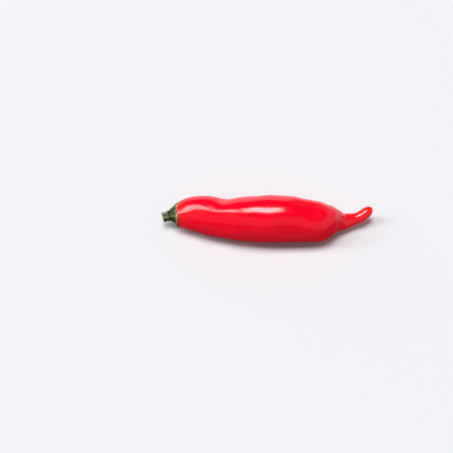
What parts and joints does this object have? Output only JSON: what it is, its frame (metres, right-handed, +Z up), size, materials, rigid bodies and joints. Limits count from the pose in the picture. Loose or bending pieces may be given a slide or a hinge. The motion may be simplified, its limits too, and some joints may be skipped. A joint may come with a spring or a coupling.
{
  "type": "chilli pepper",
  "caption": "Fresh long red chilli pepper lying on its side: bowed glossy pod with a horn-like curled tip, green toothed calyx and short cut stalk.",
  "frame": {"origin": "on the surface it lies on, under the middle of the chilli's bounding box", "axes": "+X along the chilli from the cut stalk to the tip, +Y away from the viewer, towards the inside of the pod's bow, +Z up"},
  "size_m": [0.1008, 0.024, 0.0224],
  "materials": {
    "pod_skin": "taut, glossy scarlet fruit skin with faint ripples across it",
    "calyx_green": "ribbed mid-green sepals, drying to tan along the toothed rim",
    "stem_green": "ridged green stalk with a pale, dry cut face"
  },
  "bodies": {
    "root": {"pod": "pod_skin", "calyx": "calyx_green", "stem": "stem_green"}
  },
  "joints": []
}
